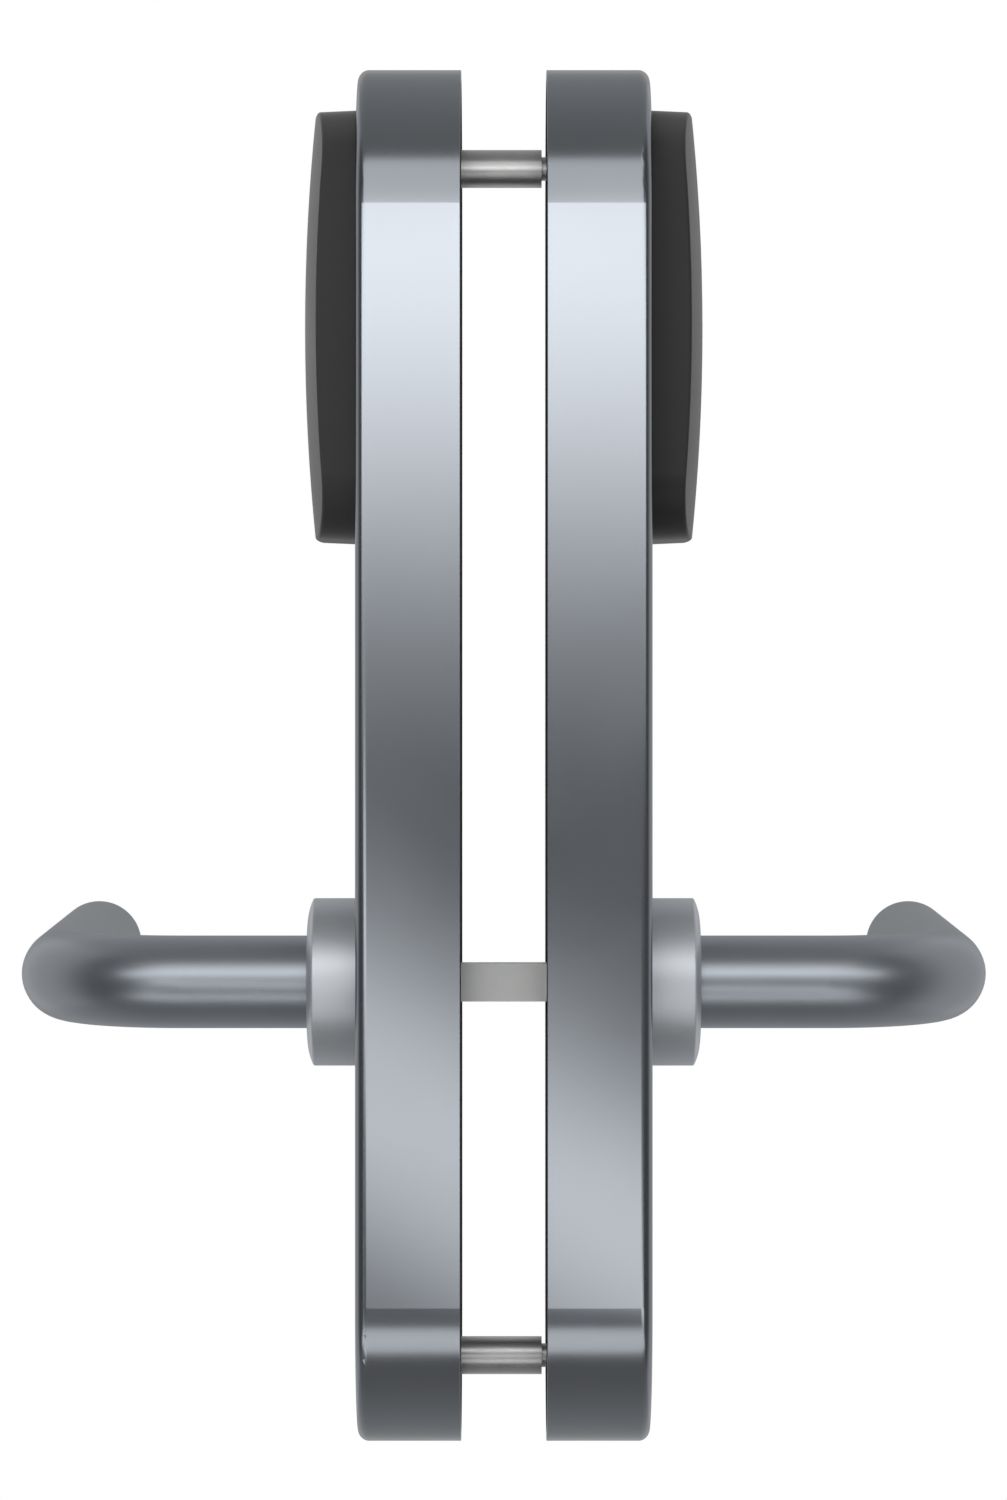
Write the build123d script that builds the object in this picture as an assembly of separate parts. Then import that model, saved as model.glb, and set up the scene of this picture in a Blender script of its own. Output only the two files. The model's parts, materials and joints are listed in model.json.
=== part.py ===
"""Electronic door lock: two mirrored escutcheons clamped through a door leaf.

Millimetres. The origin is where the spindle axis crosses the middle of the leaf.
+X points out of the inside face of the leaf, +Y along the levers, +Z up.
Each half is modelled on the inside, at positive X, and mirrored for the outside.
"""
import os
from math import asin, atan, cos, degrees, pi, radians, sin, sqrt, tan

from build123d import *

# Leaf and fits
LEAF = 18.0  # gap between the two halves
RUNNING = 0.05  # radial clearance of a turning or sliding fit
SEAT = 0.05  # radial clearance of a fixed fit
ROOM = 0.3  # free gap beside a moving piece
RELIEF = 1.0  # blind hole beyond a screw's tip
DROP = 45.0  # degrees that a lever turns down

# Escutcheon shell
PLATE_LENGTH = 289.6
PLATE_WIDTH = 62.0
PLATE_DEPTH = 21.7
END_GAP = 17.9  # bottom fixing above the bottom end
SHELL_WALL = 2.0
EDGE_RADIUS = 2.4
RIM_CHAMFER = 0.1
PLATE_GAP = 0.2  # base plate and gasket inside the shell's wall

# Base plate and gasket
GASKET = 1.5
BASE = 2.5

# Reader
READER_LENGTH = 90.0
READER_MARGIN = 7.0  # shell's face beside the reader
READER_TOP_GAP = 9.75  # shell's face above the reader
READER_CORNER = 13.0
READER_RISE = 11.3  # crown above the shell's face
READER_DRAFT = 2.5
READER_WALL = 2.0
READER_EDGE = 0.7
CROWN_UP = 440.0  # crown radius along the height
CROWN_ACROSS = 92.0  # crown radius across the width
FLANGE = 2.5
FLANGE_THICKNESS = 1.5
EAR = 4.4
BOARD = 1.6
STUD = 2.0
STUD_LENGTH = 5.4
STUD_SPREAD = 18.0  # studs above and below the reader's middle
NUT = 4.0
NUT_HEIGHT = 1.6
READER_CHIP = 9.0
READER_CHIP_HEIGHT = 1.0
LAMP_LENGTH = 5.0
LAMP_HEIGHT = 1.2
LENS_LENGTH = 14.0
LENS_WIDTH = 3.0
LENS_DROP = 13.0  # lens below the reader's top

# Rosette and bush
ROSETTE = 35.4
ROSETTE_HEIGHT = 10.7
ROSETTE_FLAT = 24.8  # flat of the front, round the lever
ROSETTE_SHOULDER = 11.7  # radius that domes the front down to the side
ROSETTE_EDGE = 0.5
ROSETTE_LIP = 3.4
BUSH = 24.0
ROSETTE_SCREWS = 3
ROSETTE_SCREW_CIRCLE = 29.6
ROSETTE_SCREW = 2.5
ROSETTE_SCREW_DEPTH = 5.0
ROSETTE_SCREW_HEAD = 4.6
ROSETTE_SCREW_HEAD_DEPTH = 1.2

# Lever
LEVER = 19.6
LEVER_REACH = 63.7  # grip axis from the shell's face
LEVER_LENGTH = 118.0  # spindle axis to the grip's end
LEVER_BEND = 26.0
LEVER_RAKE = 1.95  # degrees that the grip stands above level
LEVER_END_RADIUS = 1.0
JOURNAL = 18.0
RING = 23.0
RING_THICKNESS = 1.2
GROOVE = 16.4
RING_MOUTH = 10.0
LAND = 0.6  # journal left beyond the groove
KEY_SQUARE = 12.0

# Driver, hub and spindle
DRIVER = 32.0
DRIVER_DISC = 5.4
DRIVER_SKIRT = 7.0
SKIRT_BORE = 23.0
DRIVER_SCREW = 5.0
DRIVER_SCREW_LENGTH = 10.0
DRIVER_SCREW_HEAD = 15.0
DRIVER_SCREW_HEAD_HEIGHT = 1.8
ARM_WIDTH = 4.0
ARM_THICKNESS = 1.4
ARM_TIP = 24.5  # radius
HUB_JOURNAL = 17.0
HUB_END_WALL = 1.5
HUB_GAP = 0.5
SPINDLE = 8.0

# Return spring and stop posts
WIRE = 1.4
SPRING_RADIUS = 18.0
SPRING_PITCH = 1.8
SPRING_TURNS = 2
LEG_TIP = 25.0  # radius
POST = 5.0
POST_CIRCLE_RADIUS = 22.0

# Clutch
PIN = 3.4
PIN_DEPTH = 3.2  # pin's reach into the hub, which is also its travel
PIN_HEAD = 5.5
PIN_HEAD_HEIGHT = 1.2
PIN_X_IN_SKIRT = 2.1  # pin axis above the skirt's open end
SHOE_WIDTH = 12.0
SHOE_HEIGHT = 9.0
SHOE_FOOT = 2.2
SHOE_FOOT_WIDTH = 8.0
SHOE_FOOT_DEPTH = 6.0
CARRIER_FLOOR = 1.5
CARRIER_CHEEK = 2.7
CARRIER_WALL = 2.5
CARRIER_EAR = 5.0
CARRIER_EAR_HEIGHT = 7.0
MOTOR_WIDTH = 12.0
MOTOR_DEPTH = 10.0
MOTOR_GEARBOX = 9.0
MOTOR_CAN = 15.0
CLUTCH_SCREW = 3.0

# Control board
CONTROL_MARGIN = 11.0  # board inside the shell's outline on each side
CONTROL_GAP = 3.5  # board from the clutch carrier and from the top fixing
CONTROLLER = 12.0
CONTROLLER_HEIGHT = 1.4
BUZZER = 9.0
SOCKET_LENGTH = 10.0
SOCKET_WIDTH = 5.0
TALL_PART = 4.0  # height of the buzzer and the sockets
TALL_PART_INSET = 12.0
STANDOFF = 5.0
STANDOFF_HEIGHT = 3.5
STANDOFF_INSET = 4.0
CHASSIS_SCREW = 2.5
CHASSIS_SCREW_HEAD = 4.5
CHASSIS_SCREW_HEAD_HEIGHT = 1.6

# Batteries
CELL = 10.5
CELL_LENGTH = 43.5
CELL_NUB = 3.8
CELL_NUB_LENGTH = 1.0
CELLS = 3
CELL_PITCH = 11.5
CONTACT = 1.5
CONTACT_SIZE = 8.0
TRAY_WALL = 1.6
TRAY_GAP = 2.8  # tray below the return spring
TRAY_SIDE_HEIGHT = 8.0
TRAY_EAR = 6.0

# Fixings
SLEEVE = 8.0
SLEEVE_HEAD = 11.0
SLEEVE_HEAD_HEIGHT = 2.0
SLEEVE_SHORT = 1.0  # sleeve end short of the inside half
BOLT = 5.0
BOLT_HEAD = 8.5
BOLT_HEAD_HEIGHT = 3.0
BOLT_GRIP = 20.0
BOLT_SLACK = 0.3
FIXING_GAP = 1.3  # bottom fixing's head below the battery tray
FIXING_DROP = 20.7  # top fixing below the top end
SHELL_SCREW = 4.0
SHELL_SCREW_LENGTH = 8.6
TAB_WIDTH = 12.0
TAB_HEIGHT = 9.0
TAB_THICKNESS = 3.0
TAB_GAP = 2.5
LUG_WIDTH = 8.0
LUG_DEPTH = 3.0

# Stations along X, from the leaf outwards
X_BACK = LEAF / 2
X_FRONT = X_BACK + PLATE_DEPTH
X_INNER = X_FRONT - SHELL_WALL
X_BASE_BACK = X_BACK + GASKET
X_BASE = X_BASE_BACK + BASE
X_ROSETTE = X_FRONT + ROSETTE_HEIGHT
X_LIP = X_ROSETTE - ROSETTE_LIP
X_GROOVE = X_INNER - ROOM
X_KEY = X_GROOVE - RING_THICKNESS - LAND
X_DISC = X_KEY - DRIVER_DISC
X_SKIRT = X_DISC - DRIVER_SKIRT
X_HUB = X_DISC - DRIVER_SCREW_HEAD_HEIGHT - HUB_GAP
X_PIN = X_SKIRT + PIN_X_IN_SKIRT
X_MOTOR = X_BASE + CARRIER_FLOOR + MOTOR_DEPTH / 2
X_BOARD = X_BASE + STANDOFF_HEIGHT

# Heights, stacked down from the spindle axis to the bottom end, then from the top end down
TRAY_LENGTH = CELL_LENGTH + CELL_NUB_LENGTH + 2 * CONTACT + 2 * TRAY_WALL
TRAY_TOP = -(SPRING_RADIUS + WIRE / 2 + TRAY_GAP)
TRAY_BOTTOM = TRAY_TOP - TRAY_LENGTH
FIXING_BOTTOM = TRAY_BOTTOM - FIXING_GAP - SLEEVE_HEAD / 2
Z_BOTTOM = FIXING_BOTTOM - END_GAP
Z_TOP = Z_BOTTOM + PLATE_LENGTH
FIXING_TOP = Z_TOP - FIXING_DROP
FIXINGS = (FIXING_BOTTOM, FIXING_TOP)
READER_TOP = Z_TOP - READER_TOP_GAP
READER_Z = READER_TOP - READER_LENGTH / 2
READER_WIDTH = PLATE_WIDTH - 2 * READER_MARGIN
STUD_Y = READER_WIDTH / 2 + (READER_MARGIN - SHELL_WALL) / 2
STUDS = [(side * STUD_Y, READER_Z + up * STUD_SPREAD) for side in (-1, 1) for up in (-1, 1)]

# Clutch stations, measured up from the spindle axis with the pin engaged
HUB = SKIRT_BORE - 2 * ROOM
PIN_TIP = HUB / 2 - PIN_DEPTH
PIN_SEAT = DRIVER / 2 + ROOM
PIN_TOP = PIN_SEAT + PIN_HEAD_HEIGHT
SHOE_BOTTOM = sqrt(PIN_TOP**2 + (PIN_HEAD / 2) ** 2) + ROOM / 2
SHOE_TOP = SHOE_BOTTOM + SHOE_FOOT + SHOE_HEIGHT
CARRIER_BOTTOM = SHOE_BOTTOM + PIN_DEPTH + ROOM
CARRIER_WALL_Z = SHOE_TOP + PIN_DEPTH + ROOM
MOTOR_Z = CARRIER_WALL_Z + CARRIER_WALL
MOTOR_TOP = MOTOR_Z + MOTOR_GEARBOX + MOTOR_CAN
CARRIER_TOP = MOTOR_TOP + CARRIER_WALL
CONTROL_BOTTOM = CARRIER_TOP + CONTROL_GAP
CONTROL_TOP = FIXING_TOP - SLEEVE_HEAD / 2 - CONTROL_GAP
CONTROL_WIDTH = PLATE_WIDTH - 2 * CONTROL_MARGIN

# Angles in the plane of the plate, from +Y towards +Z. The arm points away from the grip and
# swings up past -Y as the grip drops, from one post to the other.
ARM_ANGLE = 180 + DROP / 2
POST_SPREAD = DROP / 2 + degrees(asin((ARM_WIDTH / 2 + POST / 2 + ROOM) / POST_CIRCLE_RADIUS))
POST_ANGLES = (180 - POST_SPREAD, 180 + POST_SPREAD)
LEG_AT_POST = POST_ANGLES[0] + degrees(asin((POST / 2 + WIRE / 2 + RUNNING) / POST_CIRCLE_RADIUS))
LEG_AT_ARM = ARM_ANGLE - degrees(asin((ARM_WIDTH / 2 + WIRE / 2 + RUNNING) / POST_CIRCLE_RADIUS))

# Screw places on the chassis, as (y, z)
CONTROL_SCREWS = [
    (side * (CONTROL_WIDTH / 2 - STANDOFF_INSET), z)
    for side in (-1, 1)
    for z in (CONTROL_BOTTOM + STANDOFF_INSET, CONTROL_TOP - STANDOFF_INSET)
]
CARRIER_HALF = SHOE_WIDTH / 2 + ROOM + CARRIER_CHEEK
CARRIER_EAR_Z = MOTOR_Z + MOTOR_GEARBOX
CARRIER_SCREWS = [(side * (CARRIER_HALF + CARRIER_EAR / 2), CARRIER_EAR_Z) for side in (-1, 1)]
TRAY_WIDTH = CELL_PITCH * (CELLS - 1) + CELL + 2 * TRAY_WALL + 2 * ROOM
TRAY_Z = TRAY_TOP - TRAY_LENGTH / 2
TRAY_SCREWS = [(side * (TRAY_WIDTH / 2 + TRAY_EAR / 2), TRAY_Z) for side in (-1, 1)]
CELL_PLACES = [(i - (CELLS - 1) / 2) * CELL_PITCH for i in range(CELLS)]
X_CELL = X_BASE + TRAY_WALL + CELL / 2


# Helpers


def face_at(x):
    """Plane across X with local x along +Y and local y along +Z."""
    return Plane(origin=(x, 0, 0), x_dir=(0, 1, 0), z_dir=(1, 0, 0))


def prism(sketch, x0, x1):
    """Sketch in the plane of the plate, run from x0 to x1."""
    return extrude(face_at(x0) * sketch, amount=x1 - x0)


def rod(diameter, x0, x1, y=0.0, z=0.0):
    """Round bar along X."""
    return prism(Pos(y, z) * Circle(diameter / 2), x0, x1)


def upright(diameter, z0, z1, x, y=0.0):
    """Round bar along Z."""
    return extrude(Plane.XY.offset(z0) * Pos(x, y) * Circle(diameter / 2), amount=z1 - z0)


def block(x0, x1, y0, y1, z0, z1):
    """Box between six stations."""
    return Pos((x0 + x1) / 2, (y0 + y1) / 2, (z0 + z1) / 2) * Box(x1 - x0, y1 - y0, z1 - z0)


def turned(angle, shape):
    """Shape turned about the spindle axis, from +Y towards +Z."""
    return Rot(X=angle) * shape


def stadium(inset=0.0):
    """Round-ended outline of the escutcheon, inset all round."""
    middle = Z_BOTTOM + PLATE_LENGTH / 2
    return Pos(0, middle) * SlotOverall(PLATE_LENGTH - 2 * inset, PLATE_WIDTH - 2 * inset, rotation=90)


def rounded(width, length, corner, z):
    """Upright rectangle with round corners, centred at height z."""
    return Pos(0, z) * RectangleRounded(width, length, corner)


def reader_outline(inset):
    """Outline of the reader at the shell's face, inset all round."""
    return rounded(READER_WIDTH - 2 * inset, READER_LENGTH - 2 * inset, READER_CORNER - inset, READER_Z)


def screw_group(places, diameter, head, head_height, x_head, x_tip):
    """Pan-headed screws along X whose heads bear at x_head."""
    screws = []
    for y, z in places:
        screws.append(rod(diameter, x_tip, x_head, y, z) + rod(head, x_head, x_head + head_height, y, z))
    return Compound(children=screws)


# Shell, base plate and gasket


def shell():
    """Round-ended housing, open at the back, with a reader window and a lever hole."""
    body = prism(stadium(), X_BACK, X_FRONT)
    body = fillet(body.edges().group_by(Axis.X)[-1], EDGE_RADIUS)
    body = chamfer(body.edges().group_by(Axis.X)[0], RIM_CHAMFER)
    body -= prism(stadium(SHELL_WALL), X_BACK, X_INNER)
    body -= prism(reader_outline(-2 * SEAT), X_INNER, X_FRONT)
    body -= rod(BUSH, X_INNER, X_FRONT)
    for angle in rosette_screw_angles():
        body -= turned(angle, rosette_screw(SEAT))
    for y, z in STUDS:
        body += rod(STUD, X_INNER - STUD_LENGTH, X_INNER, y, z)
    inner_top = Z_TOP - SHELL_WALL
    body += block(X_BASE + RUNNING, X_BASE + LUG_DEPTH, -LUG_WIDTH / 2, LUG_WIDTH / 2,
                  inner_top - LUG_DEPTH, inner_top + SHELL_WALL / 2)
    body -= upright(SHELL_SCREW + 2 * SEAT, Z_BOTTOM, Z_BOTTOM + 2 * SHELL_WALL, X_BASE + TAB_HEIGHT / 2)
    return body


def base_plate(bolt_hole):
    """Steel chassis with standoffs for the board and a bent tab for the shell screw."""
    plate = prism(stadium(SHELL_WALL + PLATE_GAP), X_BASE_BACK, X_BASE)
    plate -= rod(HUB_JOURNAL + 2 * RUNNING, X_BASE_BACK, X_BASE)
    for z in FIXINGS:
        plate -= rod(bolt_hole, X_BASE_BACK, X_BASE, 0, z)
    for y, z in CONTROL_SCREWS:
        plate += rod(STANDOFF, X_BASE, X_BOARD, y, z)
    for y, z in CONTROL_SCREWS:
        plate -= rod(CHASSIS_SCREW + 2 * SEAT, X_BASE_BACK, X_BOARD, y, z)
    for y, z in CARRIER_SCREWS + TRAY_SCREWS:
        plate -= rod(CHASSIS_SCREW + 2 * SEAT, X_BASE_BACK, X_BASE, y, z)
    for angle in POST_ANGLES:
        plate -= turned(angle, rod(POST, X_BASE_BACK, X_BASE, POST_CIRCLE_RADIUS, 0))
    tab_z = Z_BOTTOM + SHELL_WALL + TAB_GAP
    plate += block(X_BASE - BASE / 2, X_BASE + TAB_HEIGHT, -TAB_WIDTH / 2, TAB_WIDTH / 2,
                   tab_z, tab_z + TAB_THICKNESS)
    plate -= upright(SHELL_SCREW + 2 * SEAT, tab_z, tab_z + TAB_THICKNESS, X_BASE + TAB_HEIGHT / 2)
    return plate


def gasket():
    """Foam sheet, flush with the shell's rim, that lies on the leaf."""
    sheet = prism(stadium(SHELL_WALL + PLATE_GAP), X_BACK, X_BASE_BACK)
    sheet -= rod(HUB_JOURNAL + 4 * ROOM, X_BACK, X_BASE_BACK)
    for z in FIXINGS:
        sheet -= rod(SLEEVE + 2 * ROOM, X_BACK, X_BASE_BACK, 0, z)
    return sheet


def stop_posts():
    """Two riveted posts that stop the driver's arm and hold the spring's fixed leg."""
    posts = [
        turned(angle, rod(POST - 2 * SEAT, X_BASE_BACK, X_BASE, POST_CIRCLE_RADIUS, 0)
               + rod(POST, X_BASE, X_KEY, POST_CIRCLE_RADIUS, 0))
        for angle in POST_ANGLES
    ]
    return Compound(children=posts)


def shell_screw():
    """Set screw up through the shell's bottom end into the base plate's tab."""
    return upright(SHELL_SCREW, Z_BOTTOM + SHELL_WALL / 2, Z_BOTTOM + SHELL_WALL / 2 + SHELL_SCREW_LENGTH,
                   X_BASE + TAB_HEIGHT / 2)


# Reader


def reader_form(inset):
    """Drafted body of the reader under a face that is crowned both ways, inset all round."""
    crown = X_FRONT + READER_RISE - inset
    height = crown - X_INNER
    body = extrude(face_at(X_INNER) * reader_outline(inset - SHELL_WALL * tan(radians(READER_DRAFT))),
                   amount=height + READER_WALL, taper=READER_DRAFT)
    half = READER_WIDTH / 2
    across = CROWN_ACROSS - inset
    side_x = crown - across + sqrt(across**2 - half**2)
    profile = make_face([
        ThreePointArc((side_x, -half, READER_Z), (crown, 0, READER_Z), (side_x, half, READER_Z)),
        Polyline((side_x, half, READER_Z), (X_BACK, half, READER_Z), (X_BACK, -half, READER_Z),
                 (side_x, -half, READER_Z)),
    ])
    pivot = Axis((crown - CROWN_UP + inset, 0, READER_Z), (0, 1, 0))
    sweep_angle = degrees(asin(READER_LENGTH / CROWN_UP))
    crown_body = revolve(profile.rotate(pivot, -sweep_angle), axis=pivot, revolution_arc=2 * sweep_angle)
    return body & crown_body


def lens_outline(clearance):
    """Pill-shaped window across the top of the reader."""
    pill = SlotOverall(LENS_LENGTH + 2 * clearance, LENS_WIDTH + 2 * clearance)
    return Pos(0, READER_TOP - LENS_DROP) * pill


def flange_outline():
    """Flange behind the shell, with an ear round each stud."""
    outline = reader_outline(-FLANGE)
    for y, z in STUDS:
        outline += Pos(y, z) * Circle(EAR / 2)
    outline &= stadium(SHELL_WALL + PLATE_GAP)
    for y, z in STUDS:
        outline -= Pos(y, z) * Circle(STUD / 2 + SEAT)
    return outline


def reader_cover():
    """Black moulding: domed front, drafted sides, flange behind the shell."""
    cover = reader_form(0)
    front = cover.faces().sort_by(Axis.X)[-1]
    cover = fillet(front.edges(), READER_EDGE)
    cover += prism(flange_outline(), X_INNER - FLANGE_THICKNESS, X_INNER)
    cover -= reader_form(READER_WALL)
    cover -= prism(reader_outline(READER_WALL), X_INNER - FLANGE_THICKNESS, X_INNER)
    cover -= prism(lens_outline(SEAT), X_FRONT, X_FRONT + 2 * READER_RISE)
    return cover


def status_lens():
    """Smoked light window, flush with the reader's face."""
    skin = reader_form(0) - reader_form(READER_WALL)
    return skin & prism(lens_outline(0), X_FRONT, X_FRONT + 2 * READER_RISE)


def reader_board():
    """Antenna board clamped behind the cover's flange, with a chip on its back and a lamp on its front."""
    front = X_INNER - FLANGE_THICKNESS
    back = front - BOARD
    board = prism(flange_outline(), back, front)
    chip = Pos(0, READER_Z) * Rectangle(READER_CHIP, READER_CHIP)
    board += prism(chip, back - READER_CHIP_HEIGHT, back)
    lamp = Pos(0, READER_TOP - LENS_DROP) * Rectangle(LAMP_LENGTH, LENS_WIDTH)
    return board + prism(lamp, front, front + LAMP_HEIGHT)


def reader_nuts():
    """Nuts on the shell's studs."""
    seat = X_INNER - FLANGE_THICKNESS - BOARD
    outline = RegularPolygon(NUT / 2, 6, major_radius=False) - Circle(STUD / 2 + SEAT)
    return Compound(children=[prism(Pos(y, z) * outline, seat - NUT_HEIGHT, seat) for y, z in STUDS])


# Rosette, bush and lever


def rosette_screw_angles():
    """Screws evenly round the rosette, the first straight up."""
    return [90 + i * 360 / ROSETTE_SCREWS for i in range(ROSETTE_SCREWS)]


def rosette_screw(clearance=0.0):
    """Countersunk screw from inside the shell into the rosette's back, on +Y."""
    place = ROSETTE_SCREW_CIRCLE / 2
    shank = rod(ROSETTE_SCREW + 2 * clearance, X_INNER, X_FRONT + ROSETTE_SCREW_DEPTH, place)
    slope = degrees(atan((ROSETTE_SCREW_HEAD - ROSETTE_SCREW) / 2 / ROSETTE_SCREW_HEAD_DEPTH))
    rim = Pos(place, 0) * Circle(ROSETTE_SCREW_HEAD / 2 + clearance)
    return shank + extrude(face_at(X_INNER) * rim, amount=ROSETTE_SCREW_HEAD_DEPTH, taper=slope)


def rosette_screws():
    """All the screws that hold the rosette."""
    return Compound(children=[turned(angle, rosette_screw()) for angle in rosette_screw_angles()])


def rosette_profile():
    """Half section of the rosette: straight side, domed shoulder and a flat round the lever."""
    flat, rim = ROSETTE_FLAT / 2, ROSETTE / 2
    sweep_angle = asin((rim - flat) / ROSETTE_SHOULDER)

    def on_shoulder(angle):
        return (X_ROSETTE - ROSETTE_SHOULDER * (1 - cos(angle)), flat + ROSETTE_SHOULDER * sin(angle))

    shoulder = ThreePointArc(on_shoulder(0), on_shoulder(sweep_angle / 2), on_shoulder(sweep_angle))
    rest = Polyline(on_shoulder(sweep_angle), (X_FRONT, rim), (X_FRONT, 0), (X_ROSETTE, 0), on_shoulder(0))
    return make_face([*shoulder.edges(), *rest.edges()])


def rosette():
    """Turned collar with a domed front, bored for the bush and the lever."""
    collar = revolve(rosette_profile(), axis=Axis.X)
    rims = collar.edges().filter_by(lambda edge: edge.is_closed).sort_by(Axis.X)
    collar = fillet(rims[1], ROSETTE_EDGE)
    collar -= rod(LEVER + 2 * ROOM, X_LIP, X_ROSETTE)
    collar -= rod(BUSH, X_FRONT, X_LIP)
    for angle in rosette_screw_angles():
        collar -= turned(angle, rosette_screw(SEAT))
    return collar


def bush():
    """Plain sleeve that the lever's journal turns in."""
    return rod(BUSH - 2 * SEAT, X_INNER, X_LIP) - rod(JOURNAL + 2 * RUNNING, X_INNER, X_LIP)


def lever():
    """Bent round bar with a turned journal, a ring groove and a square end."""
    grip_x = X_FRONT + LEVER_REACH
    path = Wire([
        Line((X_LIP + ROOM, 0, 0), (grip_x - LEVER_BEND, 0, 0)),
        ThreePointArc((grip_x - LEVER_BEND, 0, 0),
                      (grip_x - LEVER_BEND * (1 - sin(pi / 4)), LEVER_BEND * (1 - cos(pi / 4)), 0),
                      (grip_x, LEVER_BEND, 0)),
        Line((grip_x, LEVER_BEND, 0), (grip_x, LEVER_LENGTH, 0)),
    ])
    bar = sweep(face_at(X_LIP + ROOM) * Circle(LEVER / 2), path=path)
    bar = fillet(bar.edges().group_by(Axis.Y)[-1], LEVER_END_RADIUS)
    bar = turned(LEVER_RAKE, bar)
    neck = rod(JOURNAL, X_KEY, X_LIP + ROOM)
    ring_space = X_GROOVE - RING_THICKNESS - RUNNING
    neck -= rod(JOURNAL, ring_space, X_GROOVE + RUNNING) - rod(GROOVE, ring_space, X_GROOVE + RUNNING)
    neck += prism(Rectangle(KEY_SQUARE, KEY_SQUARE), X_DISC + ROOM, X_KEY)
    neck -= rod(DRIVER_SCREW + 2 * SEAT, X_DISC, X_DISC + DRIVER_SCREW_LENGTH + RELIEF)
    return bar + neck


def retaining_ring():
    """Open spring ring in the lever's groove, behind the bush."""
    ring = Circle(RING / 2) - Circle(GROOVE / 2 + SEAT)
    ring -= Pos(-RING / 2, 0) * Rectangle(RING, RING_MOUTH)
    return prism(ring, X_GROOVE - RING_THICKNESS, X_GROOVE)


# Driver, hub, spring and spindle


def driver():
    """Cup on the lever's square end: disc, skirt that carries the clutch pin, and a stop arm."""
    cup = rod(DRIVER, X_SKIRT, X_KEY)
    cup -= rod(SKIRT_BORE, X_SKIRT, X_DISC)
    cup -= prism(Rectangle(KEY_SQUARE + 2 * SEAT, KEY_SQUARE + 2 * SEAT), X_DISC, X_KEY)
    cup += turned(ARM_ANGLE, block(X_KEY - ARM_THICKNESS, X_KEY, (DRIVER + KEY_SQUARE) / 4, ARM_TIP,
                                   -ARM_WIDTH / 2, ARM_WIDTH / 2))
    cup -= upright(PIN + 2 * RUNNING, 0, DRIVER, X_PIN)
    return cup


def driver_screw():
    """Flanged screw that clamps the driver to the lever."""
    return (rod(DRIVER_SCREW, X_DISC, X_DISC + DRIVER_SCREW_LENGTH)
            + rod(DRIVER_SCREW_HEAD, X_DISC - DRIVER_SCREW_HEAD_HEIGHT, X_DISC))


def spindle_hub():
    """Follower in the base plate with a square socket and a hole for the clutch pin."""
    hub = rod(HUB, X_BASE + ROOM, X_HUB) + rod(HUB_JOURNAL, X_BACK + ROOM, X_BASE + ROOM)
    hub -= prism(Rectangle(SPINDLE + 2 * SEAT, SPINDLE + 2 * SEAT), X_BACK + ROOM, X_HUB - HUB_END_WALL)
    hub -= upright(PIN + 2 * RUNNING, PIN_TIP - RUNNING, HUB, X_PIN)
    return hub


def return_spring():
    """Torsion spring of square wire between the lower post and the driver's arm."""
    rise = SPRING_PITCH * (SPRING_TURNS + (LEG_AT_ARM - LEG_AT_POST) / 360)
    start = X_KEY - ARM_THICKNESS / 2 - rise
    helix = Helix(pitch=SPRING_PITCH, height=rise, radius=SPRING_RADIUS)
    section = Plane(origin=helix @ 0, x_dir=(1, 0, 0), z_dir=helix % 0) * Rectangle(WIRE, WIRE)
    coil = sweep(section, path=helix, is_frenet=True)
    seat = Plane(origin=(start, 0, 0), x_dir=(0, cos(radians(LEG_AT_POST)), sin(radians(LEG_AT_POST))),
                 z_dir=(1, 0, 0))
    spring = seat * coil
    for x, angle in ((start, LEG_AT_POST), (start + rise, LEG_AT_ARM)):
        spring += turned(angle, block(x - WIRE / 2, x + WIRE / 2, SPRING_RADIUS - WIRE / 2, LEG_TIP,
                                      -WIRE / 2, WIRE / 2))
    return spring


def spindle():
    """Square bar through the leaf that both hubs turn."""
    end = X_HUB - HUB_END_WALL - RUNNING
    return prism(Rectangle(SPINDLE, SPINDLE), -end, end)


# Clutch


def clutch_pin():
    """Headed pin through the driver's skirt into the hub."""
    return upright(PIN, PIN_TIP, PIN_SEAT, X_PIN) + upright(PIN_HEAD, PIN_SEAT, PIN_TOP, X_PIN)


def clutch_shoe():
    """Nut on the clutch screw whose foot presses the pin's head."""
    x0 = X_BASE + CARRIER_FLOOR + ROOM
    nut_z = SHOE_BOTTOM + SHOE_FOOT
    shoe = block(x0, x0 + MOTOR_DEPTH - 2 * ROOM, -SHOE_WIDTH / 2, SHOE_WIDTH / 2, nut_z, SHOE_TOP)
    shoe += block(x0, x0 + SHOE_FOOT_DEPTH, -SHOE_FOOT_WIDTH / 2, SHOE_FOOT_WIDTH / 2, SHOE_BOTTOM, nut_z)
    return shoe - upright(CLUTCH_SCREW + 2 * RUNNING, SHOE_BOTTOM, SHOE_TOP, X_MOTOR)


def clutch_screw():
    """Coarse screw on the motor's shaft."""
    return upright(CLUTCH_SCREW, CARRIER_BOTTOM, MOTOR_Z - RUNNING, X_MOTOR)


def clutch_motor():
    """Small gear motor: square gearbox and a flat-sided can."""
    half_width = MOTOR_WIDTH / 2
    half_depth = MOTOR_DEPTH / 2
    gearbox = block(X_MOTOR - half_depth, X_MOTOR + half_depth, -half_width, half_width,
                    MOTOR_Z, MOTOR_Z + MOTOR_GEARBOX)
    can = upright(MOTOR_WIDTH, MOTOR_Z + MOTOR_GEARBOX, MOTOR_TOP, X_MOTOR)
    can &= block(X_MOTOR - half_depth, X_MOTOR + half_depth, -half_width, half_width, MOTOR_Z, MOTOR_TOP)
    return gearbox + can


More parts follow.
